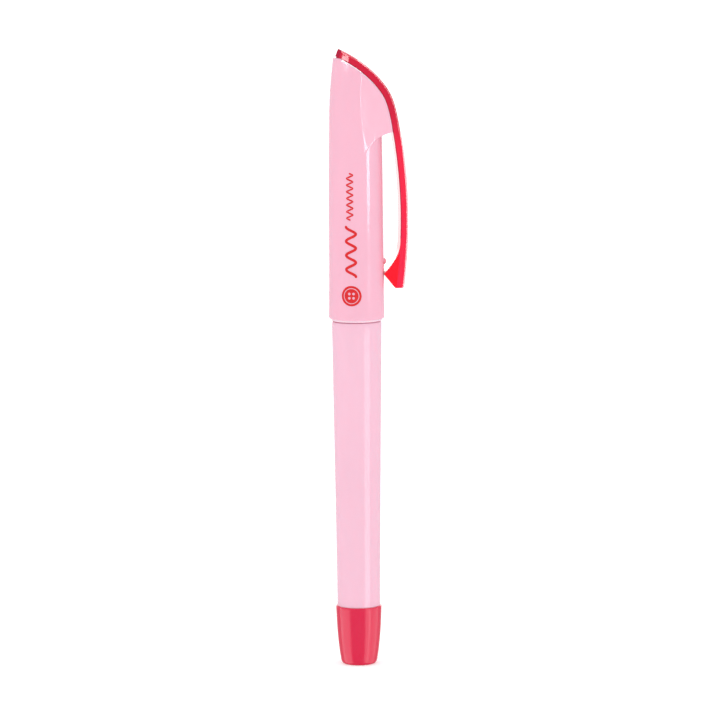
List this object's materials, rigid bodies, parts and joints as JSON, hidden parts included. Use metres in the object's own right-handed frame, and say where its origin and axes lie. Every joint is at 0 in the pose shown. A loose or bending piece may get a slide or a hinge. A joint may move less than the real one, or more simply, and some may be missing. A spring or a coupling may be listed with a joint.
{
  "type": "fabric marking pen",
  "caption": "Capped air-erasing fabric marker with a tapering barrel, a teardrop cap, a springy pocket clip and a ball tip fed by a fibre ink reservoir.",
  "frame": {"origin": "centre of the flat face of the end plug, on the pen's axis", "axes": "+Z along the pen's axis from the end plug to the cap, +X towards the clip"},
  "size_m": [0.0179, 0.0126, 0.1397],
  "materials": {
    "red_plastic": "glossy moulded plastic",
    "pink_barrel": "glossy moulded plastic",
    "pink_cap": "glossy moulded plastic",
    "white_plastic": "satin moulded plastic",
    "tip_metal": "turned and polished",
    "core_fibre": "bonded fibre",
    "reservoir_fibre": "fibre soaked in violet ink",
    "film": "clear film",
    "seal_rubber": "soft elastomer"
  },
  "bodies": {
    "barrel": {"barrel": "pink_barrel", "end_plug": "red_plastic", "grip_section": "white_plastic", "tip_holder": "white_plastic", "tip_body": "tip_metal", "relay_core": "core_fibre", "ink_reservoir": "reservoir_fibre", "reservoir_film": "film", "breather_tube": "white_plastic"},
    "cap": {"cap_shell": "pink_cap", "inner_cap": "white_plastic", "tip_seal": "seal_rubber", "clip_crown": "red_plastic"},
    "clip": {"clip_arm": "red_plastic"},
    "ball": {"tip_ball": "tip_metal"}
  },
  "joints": [
    {"name": "cap_pull", "type": "slide", "parent": "barrel", "child": "cap", "axis": [0, 0, 1], "range_m": [0, 0.06]},
    {"name": "clip_flex", "type": "hinge", "parent": "cap", "child": "clip", "pos_m": [0.00923, 0, 0.12061], "axis": [0, -1, 0], "range_deg": [0, 5], "stiffness_Nm_per_rad": 2},
    {"name": "ball_spin", "type": "hinge", "parent": "barrel", "child": "ball", "pos_m": [0, 0, 0.12475], "axis": [1, 0, 0], "continuous": true}
  ]
}
